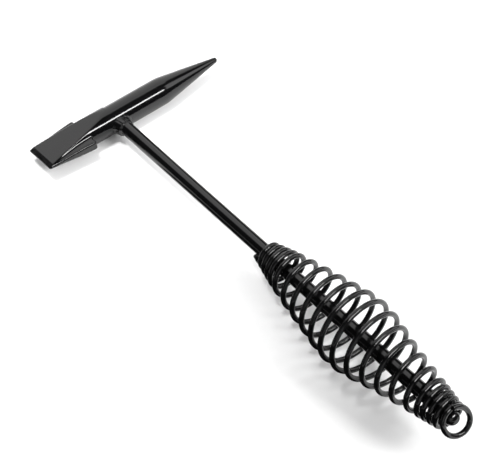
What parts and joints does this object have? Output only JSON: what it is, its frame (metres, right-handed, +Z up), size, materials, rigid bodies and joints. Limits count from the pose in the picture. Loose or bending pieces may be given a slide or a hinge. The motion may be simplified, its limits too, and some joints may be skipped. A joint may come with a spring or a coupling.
{
  "type": "chipping hammer",
  "caption": "Chipping hammer for knocking slag off welds: forged head with a cone point and a chisel edge, round rod handle and a barrel-shaped coil spring grip, in gloss black enamel.",
  "frame": {"origin": "middle of the underside of the bounding box, with the hammer lying on its side", "axes": "+X along the handle away from the head, +Y along the head towards the cone point, +Z up"},
  "size_m": [0.2932, 0.1238, 0.0413],
  "materials": {
    "black_enamel_forging": "gloss black enamel over forged steel, slight orange peel",
    "black_enamel_bar": "gloss black enamel over round steel bar",
    "black_enamel_wire": "gloss black enamel over spring wire",
    "black_enamel_weld": "gloss black enamel pooled over weld metal"
  },
  "bodies": {
    "root": {"hammer_head": "black_enamel_forging", "handle_rod": "black_enamel_bar", "spring_grip": "black_enamel_wire", "head_weld": "black_enamel_weld", "front_grip_weld": "black_enamel_weld", "butt_grip_weld": "black_enamel_weld"}
  },
  "joints": []
}
